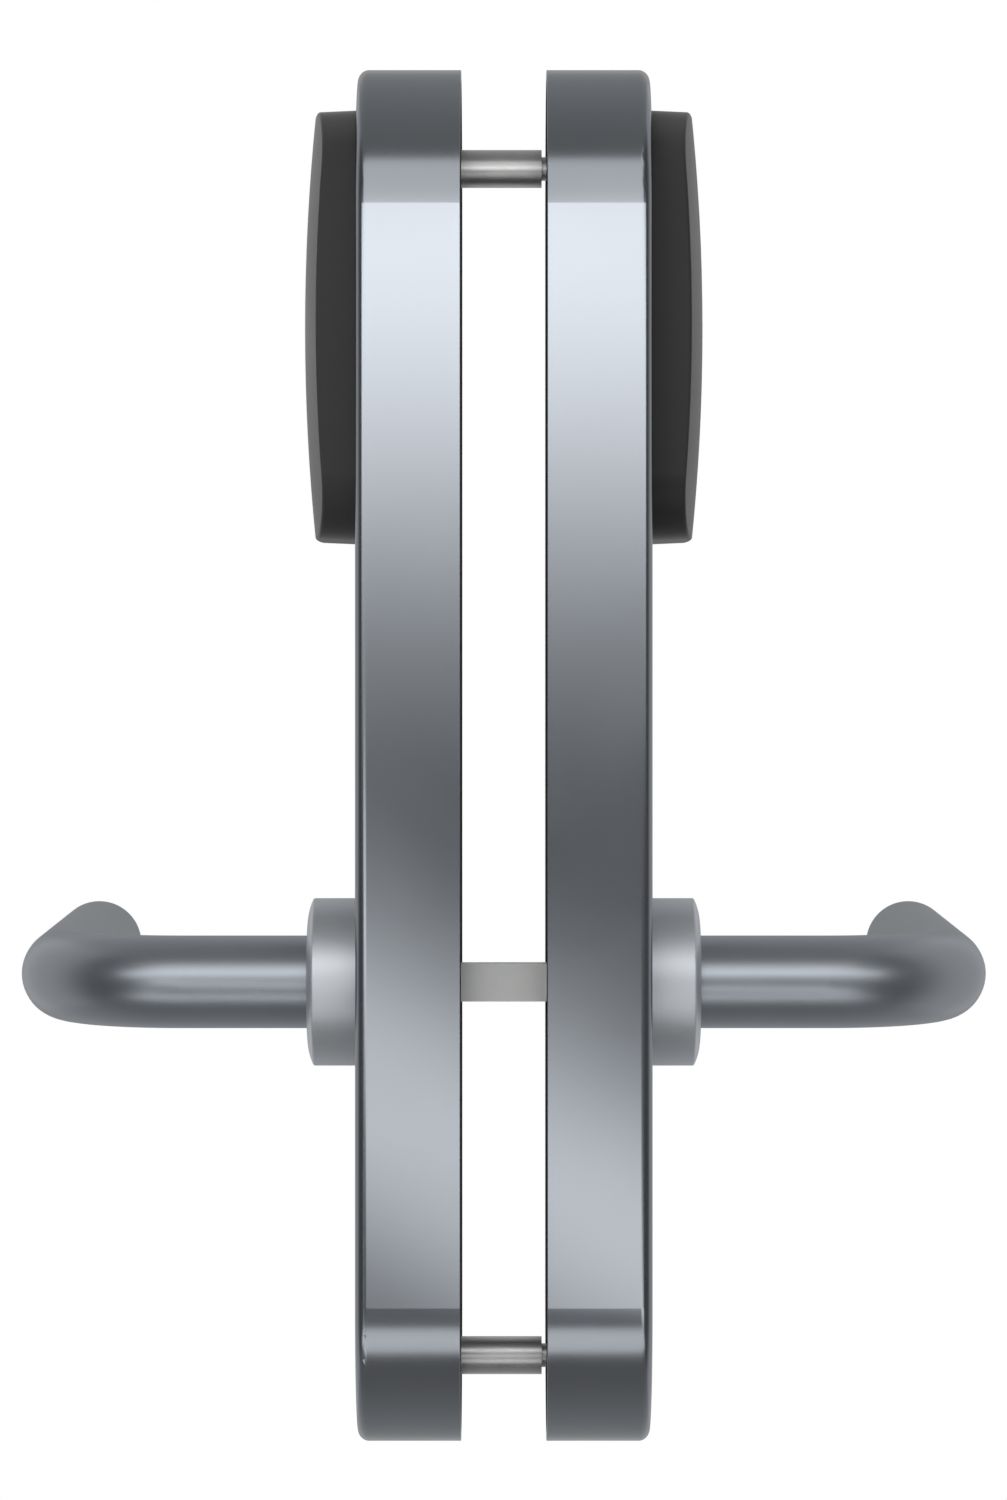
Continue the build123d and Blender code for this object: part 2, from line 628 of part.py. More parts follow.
def clutch_carrier():
    """Moulded bed for the motor, with a slideway for the shoe."""
    x0 = X_BASE
    floor = X_BASE + CARRIER_FLOOR
    x1 = floor + MOTOR_DEPTH
    bed = block(x0, x1, -CARRIER_HALF, CARRIER_HALF, CARRIER_BOTTOM, CARRIER_TOP)
    bed += block(x0, floor, -CARRIER_HALF - CARRIER_EAR, CARRIER_HALF + CARRIER_EAR,
                 CARRIER_EAR_Z - CARRIER_EAR_HEIGHT / 2, CARRIER_EAR_Z + CARRIER_EAR_HEIGHT / 2)
    slide_half = SHOE_WIDTH / 2 + ROOM
    bed -= block(floor, x1, -slide_half, slide_half, CARRIER_BOTTOM, CARRIER_WALL_Z)
    motor_half = MOTOR_WIDTH / 2 + SEAT
    bed -= block(floor, x1, -motor_half, motor_half, MOTOR_Z, MOTOR_TOP)
    bed -= upright(CLUTCH_SCREW + 2 * ROOM, CARRIER_WALL_Z, MOTOR_Z, X_MOTOR)
    for y, z in CARRIER_SCREWS:
        bed -= rod(CHASSIS_SCREW + 2 * SEAT, x0, floor, y, z)
    return bed


# Control board and batteries


def control_board():
    """Main board on the standoffs, with a controller, a buzzer and two sockets."""
    x1 = X_BOARD + BOARD
    middle = (CONTROL_TOP + CONTROL_BOTTOM) / 2
    outline = rounded(CONTROL_WIDTH, CONTROL_TOP - CONTROL_BOTTOM, STANDOFF_INSET / 2, middle)
    board = prism(outline, X_BOARD, x1)
    board += prism(Pos(0, middle) * Rectangle(CONTROLLER, CONTROLLER), x1, x1 + CONTROLLER_HEIGHT)
    quarter = CONTROL_WIDTH / 4
    high = CONTROL_TOP - TALL_PART_INSET
    low = CONTROL_BOTTOM + TALL_PART_INSET
    for y, z in ((quarter, high), (0, low)):
        board += prism(Pos(y, z) * Rectangle(SOCKET_LENGTH, SOCKET_WIDTH), x1, x1 + TALL_PART)
    board += rod(BUZZER, x1, x1 + TALL_PART, -quarter, high)
    for y, z in CONTROL_SCREWS:
        board -= rod(CHASSIS_SCREW + 2 * SEAT, X_BOARD, x1, y, z)
    return board


def chassis_screws():
    """Screws of the board, the clutch carrier and the battery tray."""
    floor = X_BASE + CARRIER_FLOOR
    return Compound(children=[
        screw_group(CONTROL_SCREWS, CHASSIS_SCREW, CHASSIS_SCREW_HEAD, CHASSIS_SCREW_HEAD_HEIGHT,
                    X_BOARD + BOARD, X_BASE_BACK),
        screw_group(CARRIER_SCREWS, CHASSIS_SCREW, CHASSIS_SCREW_HEAD, CHASSIS_SCREW_HEAD_HEIGHT,
                    floor, X_BASE_BACK),
        screw_group(TRAY_SCREWS, CHASSIS_SCREW, CHASSIS_SCREW_HEAD, CHASSIS_SCREW_HEAD_HEIGHT,
                    X_BASE + TRAY_WALL, X_BASE_BACK),
    ])


def battery_tray():
    """Open moulded tray with side walls and ears."""
    half = TRAY_WIDTH / 2
    floor = X_BASE + TRAY_WALL
    tray = block(X_BASE, floor + TRAY_SIDE_HEIGHT, -half, half, TRAY_BOTTOM, TRAY_TOP)
    tray -= block(floor, floor + TRAY_SIDE_HEIGHT, -half + TRAY_WALL, half - TRAY_WALL,
                  TRAY_BOTTOM + TRAY_WALL, TRAY_TOP - TRAY_WALL)
    tray += block(X_BASE, floor, -half - TRAY_EAR, half + TRAY_EAR,
                  TRAY_Z - TRAY_EAR / 2, TRAY_Z + TRAY_EAR / 2)
    for y, z in TRAY_SCREWS:
        tray -= rod(CHASSIS_SCREW + 2 * SEAT, X_BASE, floor, y, z)
    return tray


def battery_cells():
    """Dry cells side by side, nub up."""
    bottom = TRAY_BOTTOM + TRAY_WALL + CONTACT
    top = bottom + CELL_LENGTH
    cells = [
        upright(CELL, bottom, top, X_CELL, y) + upright(CELL_NUB, top, top + CELL_NUB_LENGTH, X_CELL, y)
        for y in CELL_PLACES
    ]
    return Compound(children=cells)


def battery_contacts():
    """Leaf contacts at both ends of each cell."""
    half = CONTACT_SIZE / 2
    floor = X_BASE + TRAY_WALL
    low = TRAY_BOTTOM + TRAY_WALL
    high = TRAY_TOP - TRAY_WALL
    leaves = [
        block(floor, floor + CONTACT_SIZE, y - half, y + half, z, z + CONTACT)
        for y in CELL_PLACES
        for z in (low, high - CONTACT)
    ]
    return Compound(children=leaves)


# Fixings through the leaf


def sleeves():
    """Headed threaded sleeves in the outside base plate."""
    bolt_tip = X_BASE - BOLT_GRIP
    items = []
    for z in FIXINGS:
        sleeve = rod(SLEEVE, -X_BASE, X_BACK - SLEEVE_SHORT, 0, z)
        sleeve += rod(SLEEVE_HEAD, -X_BASE - SLEEVE_HEAD_HEIGHT, -X_BASE, 0, z)
        items.append(sleeve - rod(BOLT + 2 * SEAT, bolt_tip - RELIEF, X_BACK, 0, z))
    return Compound(children=items)


def through_bolts():
    """Bolts from the inside base plate into the sleeves."""
    places = [(0, z) for z in FIXINGS]
    return screw_group(places, BOLT, BOLT_HEAD, BOLT_HEAD_HEIGHT, X_BASE, X_BASE - BOLT_GRIP)


HALF = {
    "shell": shell,
    "gasket": gasket,
    "stop_posts": stop_posts,
    "shell_screw": shell_screw,
    "reader_cover": reader_cover,
    "status_lens": status_lens,
    "reader_board": reader_board,
    "reader_nuts": reader_nuts,
    "rosette": rosette,
    "rosette_screws": rosette_screws,
    "lever_bush": bush,
    "lever": lever,
    "retaining_ring": retaining_ring,
    "driver": driver,
    "driver_screw": driver_screw,
    "spindle_hub": spindle_hub,
    "return_spring": return_spring,
    "clutch_pin": clutch_pin,
    "clutch_shoe": clutch_shoe,
    "clutch_screw": clutch_screw,
    "clutch_motor": clutch_motor,
    "clutch_carrier": clutch_carrier,
    "control_board": control_board,
    "chassis_screws": chassis_screws,
    "battery_tray": battery_tray,
    "battery_cells": battery_cells,
    "battery_contacts": battery_contacts,
}
SHARED = {"spindle": spindle, "sleeves": sleeves, "through_bolts": through_bolts}
BOLT_HOLES = {"inside": BOLT + 2 * BOLT_SLACK, "outside": SLEEVE + 2 * SEAT}


def main():
    """Writes one file for each piece of both halves."""
    os.makedirs("parts", exist_ok=True)
    pieces = {name: make() for name, make in SHARED.items()}
    for name, make in HALF.items():
        piece = make()
        pieces["inside_" + name] = piece
        pieces["outside_" + name] = mirror(piece, about=Plane.YZ)
    pieces["inside_base_plate"] = base_plate(BOLT_HOLES["inside"])
    pieces["outside_base_plate"] = mirror(base_plate(BOLT_HOLES["outside"]), about=Plane.YZ)
    for name, piece in pieces.items():
        export_step(piece, f"parts/{name}.step")


main()
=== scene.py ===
"""Studio scene of an electronic door lock: two mirrored escutcheons with readers and levers."""
from __future__ import annotations

import json
import logging
import math
from dataclasses import dataclass, field
from enum import Enum
from typing import ClassVar

import bmesh
import bpy
from mathutils import Matrix, Vector

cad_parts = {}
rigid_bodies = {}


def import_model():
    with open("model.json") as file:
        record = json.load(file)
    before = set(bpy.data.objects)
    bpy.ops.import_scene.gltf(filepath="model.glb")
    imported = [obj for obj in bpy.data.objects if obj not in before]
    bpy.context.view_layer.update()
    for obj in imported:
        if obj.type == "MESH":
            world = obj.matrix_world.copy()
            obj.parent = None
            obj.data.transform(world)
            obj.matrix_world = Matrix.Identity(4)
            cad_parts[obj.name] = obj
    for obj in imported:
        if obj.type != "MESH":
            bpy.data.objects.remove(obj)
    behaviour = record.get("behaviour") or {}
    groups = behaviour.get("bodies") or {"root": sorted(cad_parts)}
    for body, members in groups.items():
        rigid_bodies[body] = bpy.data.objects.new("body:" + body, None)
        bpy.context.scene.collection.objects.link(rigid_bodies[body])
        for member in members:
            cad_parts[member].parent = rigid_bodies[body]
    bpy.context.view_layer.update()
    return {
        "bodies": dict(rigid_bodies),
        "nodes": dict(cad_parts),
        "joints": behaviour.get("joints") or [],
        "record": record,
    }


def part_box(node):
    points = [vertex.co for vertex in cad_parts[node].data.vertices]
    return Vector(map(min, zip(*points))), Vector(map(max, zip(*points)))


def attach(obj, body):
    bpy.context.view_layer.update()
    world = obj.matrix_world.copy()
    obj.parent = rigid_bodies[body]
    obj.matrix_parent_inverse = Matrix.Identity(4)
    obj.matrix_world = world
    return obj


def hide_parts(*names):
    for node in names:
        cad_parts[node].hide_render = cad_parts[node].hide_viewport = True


LOG = logging.getLogger("door_lock")
MM = 0.001
IMAGE_WIDTH = 1007
IMAGE_HEIGHT = 1500
WHITE = (1.0, 1.0, 1.0, 1.0)

Colour = tuple[float, float, float]
Place = tuple[float, float, float]
Stop = tuple[float, float]


class Side(Enum):
    """The two faces of the door leaf."""

    INSIDE = "inside"
    OUTSIDE = "outside"

    def name_of(self, piece: str) -> str:
        """Names a piece of this side.

        Args:
            piece: Name without the side.

        Returns:
            The name of this side's node or piece.
        """
        return f"{self.value}_{piece}"


class Axis(Enum):
    """Axes that a studio card may shade along."""

    X = 0
    Y = 1
    Z = 2


# Shared effects

GRAIN_DETAIL = 3.0
GRAIN_ROUGHNESS = 0.62
PATCH_DETAIL = 4.0
PATCH_DISTORTION = 0.6
PATCH_BAND = (0.32, 0.68)


def new_group(name: str, scale: str, output: str) -> bpy.types.ShaderNodeTree:
    """Makes an empty shader node group with a Vector input.

    Args:
        name: Name of the group.
        scale: Name of the input that says how many marks lie in a metre.
        output: Name of the value output.

    Returns:
        The new group, with its input and output nodes in place.
    """
    tree = bpy.data.node_groups.new(name, "ShaderNodeTree")
    tree.interface.new_socket("Vector", in_out="INPUT", socket_type="NodeSocketVector")
    tree.interface.new_socket(scale, in_out="INPUT", socket_type="NodeSocketFloat")
    tree.interface.new_socket(output, in_out="OUTPUT", socket_type="NodeSocketFloat")
    tree.nodes.new("NodeGroupInput").name = "In"
    tree.nodes.new("NodeGroupOutput").name = "Out"
    return tree


def math_node(tree: bpy.types.NodeTree, operation: str, first: bpy.types.NodeSocket | float,
              second: bpy.types.NodeSocket | float) -> bpy.types.NodeSocket:
    """Adds a Math node.

    Args:
        tree: Node tree to add to.
        operation: Math operation.
        first: Socket or number.
        second: Socket or number.

    Returns:
        The node's output socket.
    """
    node = tree.nodes.new("ShaderNodeMath")
    node.operation = operation
    for index, value in enumerate((first, second)):
        if isinstance(value, (int, float)):
            node.inputs[index].default_value = value
        else:
            tree.links.new(value, node.inputs[index])
    return node.outputs[0]


def grain_group() -> bpy.types.ShaderNodeTree:
    """Makes the fine grain of a blasted or moulded surface.

    Returns:
        A group with the grain's height, about one half.
    """
    tree = new_group("fine_grain", "Grains per Metre", "Height")
    source, sink = tree.nodes["In"], tree.nodes["Out"]
    fine = tree.nodes.new("ShaderNodeTexNoise")
    fine.inputs["Detail"].default_value = GRAIN_DETAIL
    fine.inputs["Roughness"].default_value = GRAIN_ROUGHNESS
    tree.links.new(source.outputs["Vector"], fine.inputs["Vector"])
    tree.links.new(source.outputs["Grains per Metre"], fine.inputs["Scale"])
    tree.links.new(fine.outputs["Fac"], sink.inputs["Height"])
    return tree


def handling_group() -> bpy.types.ShaderNodeTree:
    """Makes the faint broad patches that hands and polishing leave.

    Returns:
        A group with a mask from nought to one.
    """
    tree = new_group("handling", "Patches per Metre", "Mask")
    source, sink = tree.nodes["In"], tree.nodes["Out"]
    broad = tree.nodes.new("ShaderNodeTexNoise")
    broad.inputs["Detail"].default_value = PATCH_DETAIL
    broad.inputs["Distortion"].default_value = PATCH_DISTORTION
    tree.links.new(source.outputs["Vector"], broad.inputs["Vector"])
    tree.links.new(source.outputs["Patches per Metre"], broad.inputs["Scale"])
    ramp = tree.nodes.new("ShaderNodeMapRange")
    ramp.interpolation_type = "SMOOTHSTEP"
    ramp.inputs["From Min"].default_value = PATCH_BAND[0]
    ramp.inputs["From Max"].default_value = PATCH_BAND[1]
    tree.links.new(broad.outputs["Fac"], ramp.inputs["Value"])
    tree.links.new(ramp.outputs["Result"], sink.inputs["Mask"])
    return tree


@dataclass
class Effects:
    """Node groups that the finishes share."""

    grain: bpy.types.ShaderNodeTree = field(default_factory=grain_group)
    handling: bpy.types.ShaderNodeTree = field(default_factory=handling_group)


# Finishes


@dataclass(frozen=True)
class Finish:
    """A surface with fine grain and faint patches.

    The colour runs from `colour` to `patch_colour` over broad patches, roughness by `rough_spread`
    about `rough` with the grain, and the grain stands `relief` metres high. `edge` is the share of
    the grazing reflection that the surface keeps.
    """

    name: str
    colour: Colour
    patch_colour: Colour
    metallic: float = 0.0
    rough: float = 0.4
    rough_spread: float = 0.06
    specular: float = 0.5
    grains_per_metre: float = 4000.0
    relief: float = 2e-6
    patches_per_metre: float = 24.0
    coat: float = 0.0
    sheen: float = 0.0
    edge: float = 1.0

    grain_middle: ClassVar[float] = 0.5
    patch_middle: ClassVar[float] = 0.5
    patch_share: ClassVar[float] = 0.5

    def material(self, effects: Effects) -> bpy.types.Material:
        """Builds the finish's material.

        Args:
            effects: Shared node groups.

        Returns:
            The new material.
        """
        made = bpy.data.materials.new(self.name)
        made.use_nodes = True
        tree = made.node_tree
        shader = tree.nodes["Principled BSDF"]
        shader.inputs["Metallic"].default_value = self.metallic
        shader.inputs["Specular IOR Level"].default_value = self.specular
        shader.inputs["Specular Tint"].default_value = (self.edge, self.edge, self.edge, 1.0)
        shader.inputs["Coat Weight"].default_value = self.coat
        shader.inputs["Sheen Weight"].default_value = self.sheen
        place = tree.nodes.new("ShaderNodeTexCoord")
        grain = self._group(tree, effects.grain, place.outputs["Object"])
        grain.inputs["Grains per Metre"].default_value = self.grains_per_metre
        patches = self._group(tree, effects.handling, place.outputs["Object"])
        patches.inputs["Patches per Metre"].default_value = self.patches_per_metre
        self._colour(tree, shader, patches.outputs["Mask"])
        self._roughness(tree, shader, grain.outputs["Height"], patches.outputs["Mask"])
        self._bump(tree, shader, grain.outputs["Height"])
        return made

    @staticmethod
    def _group(tree: bpy.types.NodeTree, group: bpy.types.NodeTree,
               vector: bpy.types.NodeSocket) -> bpy.types.Node:
        """Places a shared effect and gives it coordinates.

        Args:
            tree: Material's node tree.
            group: Shared node group.
            vector: Coordinates that the effect follows.

        Returns:
            The group node.
        """
        node = tree.nodes.new("ShaderNodeGroup")
        node.node_tree = group
        tree.links.new(vector, node.inputs["Vector"])
        return node

    def _colour(self, tree: bpy.types.NodeTree, shader: bpy.types.Node,
                mask: bpy.types.NodeSocket) -> None:
        """Mixes the two colours over the patches.

        Args:
            tree: Material's node tree.
            shader: Principled shader.
            mask: Patches.
        """
        mix = tree.nodes.new("ShaderNodeMix")
        mix.data_type = "RGBA"
        mix.inputs["A"].default_value = (*self.colour, 1.0)
        mix.inputs["B"].default_value = (*self.patch_colour, 1.0)
        tree.links.new(mask, mix.inputs["Factor"])
        tree.links.new(mix.outputs["Result"], shader.inputs["Base Color"])

    def _roughness(self, tree: bpy.types.NodeTree, shader: bpy.types.Node,
                   grain: bpy.types.NodeSocket, patches: bpy.types.NodeSocket) -> None:
        """Spreads roughness about its middle by the grain and, by a smaller share, by the patches.

        Args:
            tree: Material's node tree.
            shader: Principled shader.
            grain: Grain about its middle.
            patches: Patches from nought to one.
        """
        both = math_node(tree, "ADD", grain, math_node(tree, "MULTIPLY", patches, self.patch_share))
        middle = self.grain_middle + self.patch_share * self.patch_middle
        spread = math_node(tree, "MULTIPLY", math_node(tree, "SUBTRACT", both, middle), self.rough_spread)
        tree.links.new(math_node(tree, "ADD", spread, self.rough), shader.inputs["Roughness"])

    def _bump(self, tree: bpy.types.NodeTree, shader: bpy.types.Node, height: bpy.types.NodeSocket) -> None:
        """Raises the grain.

        Args:
            tree: Material's node tree.
            shader: Principled shader.
            height: Grain's height.
        """
        bump = tree.nodes.new("ShaderNodeBump")
        bump.inputs["Strength"].default_value = 1.0
        bump.inputs["Distance"].default_value = self.relief
        tree.links.new(height, bump.inputs["Height"])
        tree.links.new(bump.outputs["Normal"], shader.inputs["Normal"])


SATIN_STEEL = Finish("satin_steel", (0.362, 0.386, 0.42), (0.376, 0.4, 0.434), metallic=1.0, rough=0.2,
                     rough_spread=0.05, grains_per_metre=5200.0, relief=6e-7, patches_per_metre=18.0,
                     edge=0.8)
LEVER_STEEL = Finish("lever_steel", (0.405, 0.435, 0.475), (0.425, 0.455, 0.495), metallic=1.0, rough=0.36,
                     rough_spread=0.05, grains_per_metre=5200.0, relief=6e-7, patches_per_metre=18.0,
                     edge=0.8)
BLASTED_STEEL = Finish("blasted_steel", (0.76, 0.79, 0.83), (0.78, 0.81, 0.85), metallic=1.0, rough=0.5,
                       rough_spread=0.08, grains_per_metre=5200.0, relief=1.5e-6, patches_per_metre=30.0,
                       edge=0.8)
ZINC_STEEL = Finish("zinc_steel", (0.58, 0.585, 0.59), (0.64, 0.64, 0.63), metallic=1.0, rough=0.34,
                    rough_spread=0.14, grains_per_metre=1500.0, relief=2e-6, patches_per_metre=140.0)
SPRING_STEEL = Finish("spring_steel", (0.36, 0.37, 0.39), (0.42, 0.42, 0.43), metallic=1.0, rough=0.28,
                      rough_spread=0.1, grains_per_metre=2600.0, relief=1e-6, patches_per_metre=90.0)
BRASS = Finish("turned_brass", (0.66, 0.5, 0.22), (0.72, 0.56, 0.27), metallic=1.0, rough=0.25,
               rough_spread=0.1, grains_per_metre=3000.0, relief=1e-6, patches_per_metre=120.0)
MOTOR_CAN = Finish("plated_can", (0.5, 0.5, 0.5), (0.56, 0.56, 0.55), metallic=1.0, rough=0.3,
                   rough_spread=0.1, grains_per_metre=2500.0, relief=1e-6, patches_per_metre=80.0)
READER_BLACK = Finish("reader_black", (0.024, 0.0241, 0.0244), (0.027, 0.0271, 0.0274), rough=0.36,
                      rough_spread=0.12, specular=0.14, sheen=0.1, grains_per_metre=2600.0, relief=6e-6,
                      patches_per_metre=20.0)
SMOKED_LENS = Finish("smoked_lens", (0.012, 0.012, 0.014), (0.016, 0.016, 0.018), rough=0.12,
                     rough_spread=0.04, grains_per_metre=3000.0, relief=2e-7, coat=0.5)
BLACK_FOAM = Finish("black_foam", (0.006, 0.006, 0.0065), (0.008, 0.008, 0.0085), rough=0.95,
                    rough_spread=0.05, specular=0.1, grains_per_metre=1400.0, relief=1e-5,
                    patches_per_metre=60.0)
INNER_PLASTIC = Finish("inner_plastic", (0.06, 0.06, 0.065), (0.075, 0.075, 0.08), rough=0.5,
                       rough_spread=0.12, grains_per_metre=2200.0, relief=8e-6)
BEARING_PLASTIC = Finish("bearing_plastic", (0.74, 0.73, 0.68), (0.78, 0.77, 0.72), rough=0.4,
                         rough_spread=0.1, grains_per_metre=2200.0, relief=4e-6)
CIRCUIT_BOARD = Finish("circuit_board", (0.02, 0.13, 0.06), (0.03, 0.17, 0.08), rough=0.35,
                       rough_spread=0.1, grains_per_metre=1200.0, relief=8e-6, patches_per_metre=160.0)
CELL_WRAP = Finish("cell_wrap", (0.11, 0.11, 0.12), (0.14, 0.14, 0.15), rough=0.28, rough_spread=0.06,
                   grains_per_metre=2600.0, relief=2e-6, patches_per_metre=60.0, coat=0.3)


class Palette:
    """Materials of the finishes, each built once."""

    def __init__(self) -> None:
        """Starts with the shared effects and no materials."""
        self.effects = Effects()
        self.made: dict[str, bpy.types.Material] = {}

    def material(self, finish: Finish) -> bpy.types.Material:
        """Gives a finish's material.

        Args:
            finish: Finish to look up or build.

        Returns:
            Its material.
        """
        if finish.name not in self.made:
            self.made[finish.name] = finish.material(self.effects)
        return self.made[finish.name]


# Pieces of the lock


def add_piece(name: str, mesh: bmesh.types.BMesh, material: bpy.types.Material) -> bpy.types.Object:
    """Makes an object at the origin from a finished mesh.

    Args:
        name: Name of the piece.
        mesh: Mesh in the row frame, which is freed.
        material: Material of all its faces.

    Returns:
        The new object.
    """
    data = bpy.data.meshes.new(name)
    mesh.to_mesh(data)
    mesh.free()
    data.materials.append(material)
    piece = bpy.data.objects.new(name, data)
    bpy.context.scene.collection.objects.link(piece)
    return piece


@dataclass
class Assembly:
    """Pieces that are put together on the bench, with the finish of each."""

    frame: dict
    palette: Palette
    finishes: ClassVar[dict[str, Finish]] = {}

    def name_of(self, piece: str) -> str:
        """Names a piece that both halves share.

        Args:
            piece: Plain name.

        Returns:
            Its node's name.
        """
        return piece

    def build(self) -> None:
        """Dresses every piece."""
        for piece, finish in self.finishes.items():
            self.dress(self.name_of(piece), finish)

    def dress(self, node: str, finish: Finish) -> None:
        """Gives a CAD node a finish.

        Args:
            node: Name of the node.
            finish: Finish for all its faces.
        """
        for slot in self.frame["nodes"][node].material_slots:
            slot.material = self.palette.material(finish)
        LOG.info("%s dressed in %s", node, finish.name)


@dataclass
class Fixings(Assembly):
    """Spindle, sleeves and bolts that pass through the leaf."""

    finishes: ClassVar[dict[str, Finish]] = {
        "spindle": ZINC_STEEL, "sleeves": ZINC_STEEL, "through_bolts": ZINC_STEEL,
    }


@dataclass
class SideAssembly(Assembly):
    """Pieces of one side of the leaf."""

    side: Side = Side.INSIDE

    def name_of(self, piece: str) -> str:
        """Names a piece of this side.

        Args:
            piece: Name without the side.

        Returns:
            Its node's name.
        """
        return self.side.name_of(piece)


@dataclass
class Escutcheon(SideAssembly):
    """Shell and chassis, with the set screw that holds them together."""

    body: str = "escutcheons"
    socket_across: float = 2.0 * MM
    socket_depth: float = 2.2 * MM
    socket_sides: int = 6
    screw_segments: int = 48
    screw_bevel: float = 0.25 * MM
    bevel_segments: int = 2
    level_within: float = 0.001 * MM

    finishes: ClassVar[dict[str, Finish]] = {
        "shell": SATIN_STEEL, "base_plate": ZINC_STEEL, "gasket": BLACK_FOAM, "stop_posts": ZINC_STEEL,
        "chassis_screws": ZINC_STEEL,
    }

    def build(self) -> None:
        """Dresses the pieces and makes the set screw."""
        super().build()
        self.set_screw()

    def set_screw(self) -> bpy.types.Object:
        """Replaces the plain shell screw by one with a hexagon socket.

        Returns:
            The new screw.
        """
        node = self.name_of("shell_screw")
        low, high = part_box(node)
        centre = (low + high) / 2
        radius = (high.x - low.x) / 2
        mesh = bmesh.new()
        bmesh.ops.create_cone(mesh, cap_ends=True, segments=self.screw_segments, radius1=radius,
                              radius2=radius, depth=high.z - low.z, matrix=Matrix.Translation(centre))
        rims = [edge for edge in mesh.edges
                if abs(edge.verts[0].co.z - edge.verts[1].co.z) < self.level_within]
        bmesh.ops.bevel(mesh, geom=rims, offset=self.screw_bevel, offset_type="OFFSET",
                        segments=self.bevel_segments, profile=0.5, affect="EDGES", material=-1)
        self._sink_socket(mesh, centre, low.z)
        bmesh.ops.recalc_face_normals(mesh, faces=mesh.faces)
        piece = add_piece(self.name_of("set_screw"), mesh, self.palette.material(ZINC_STEEL))
        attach(piece, self.body)
        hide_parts(node)
        LOG.info("%s made", piece.name)
        return piece

    def _sink_socket(self, mesh: bmesh.types.BMesh, centre: Vector, bottom: float) -> None:
        """Sinks a hexagon socket into the screw's lower end.

        Args:
            mesh: Screw's mesh.
            centre: Middle of the screw.
            bottom: Height of the lower end.
        """
        cap = min(mesh.faces, key=lambda face: face.calc_center_median().z)
        bmesh.ops.delete(mesh, geom=[cap], context="FACES_ONLY")
        rim = [edge for edge in mesh.edges if edge.is_boundary]
        corner_radius = self.socket_across / 2 / math.cos(math.pi / self.socket_sides)
        hexagon = bmesh.ops.create_circle(mesh, segments=self.socket_sides, radius=corner_radius,
                                          matrix=Matrix.Translation((centre.x, centre.y, bottom)))
        ring = list({edge for vert in hexagon["verts"] for edge in vert.link_edges})
        bmesh.ops.bridge_loops(mesh, edges=rim + ring)
        walls = bmesh.ops.extrude_edge_only(mesh, edges=ring)
        deep = [item for item in walls["geom"] if isinstance(item, bmesh.types.BMVert)]
        bmesh.ops.translate(mesh, verts=deep, vec=(0.0, 0.0, self.socket_depth))
        bmesh.ops.contextual_create(mesh, geom=deep)


@dataclass
class Reader(SideAssembly):
    """Domed card reader with its lens and board."""

    finishes: ClassVar[dict[str, Finish]] = {
        "reader_cover": READER_BLACK, "status_lens": SMOKED_LENS, "reader_board": CIRCUIT_BOARD,
        "reader_nuts": ZINC_STEEL,
    }


@dataclass
class LeverSet(SideAssembly):
    """Lever in its rosette, with the driver, spring and hub behind it."""

    finishes: ClassVar[dict[str, Finish]] = {
        "rosette": BLASTED_STEEL, "rosette_screws": ZINC_STEEL, "lever_bush": BEARING_PLASTIC,
        "lever": LEVER_STEEL, "retaining_ring": SPRING_STEEL, "driver": ZINC_STEEL,
        "driver_screw": ZINC_STEEL, "return_spring": SPRING_STEEL, "spindle_hub": ZINC_STEEL,
    }


@dataclass
class Clutch(SideAssembly):
    """Pin that joins driver and hub, with the motor that moves it."""

    finishes: ClassVar[dict[str, Finish]] = {
        "clutch_pin": ZINC_STEEL, "clutch_shoe": BEARING_PLASTIC, "clutch_screw": BRASS,
        "clutch_motor": MOTOR_CAN, "clutch_carrier": INNER_PLASTIC,
    }


@dataclass
class PowerPack(SideAssembly):
    """Control board and the cells that feed it."""

    finishes: ClassVar[dict[str, Finish]] = {
        "control_board": CIRCUIT_BOARD, "battery_tray": INNER_PLASTIC, "battery_cells": CELL_WRAP,
        "battery_contacts": SPRING_STEEL,
    }


SIDE_ASSEMBLIES: tuple[type[SideAssembly], ...] = (Escutcheon, Reader, LeverSet, Clutch, PowerPack)


# Studio

SIDE_FLAG_STOPS: tuple[Stop, ...] = ((-0.2, 0.1), (0.1, 0.5), (0.8, 0.8))


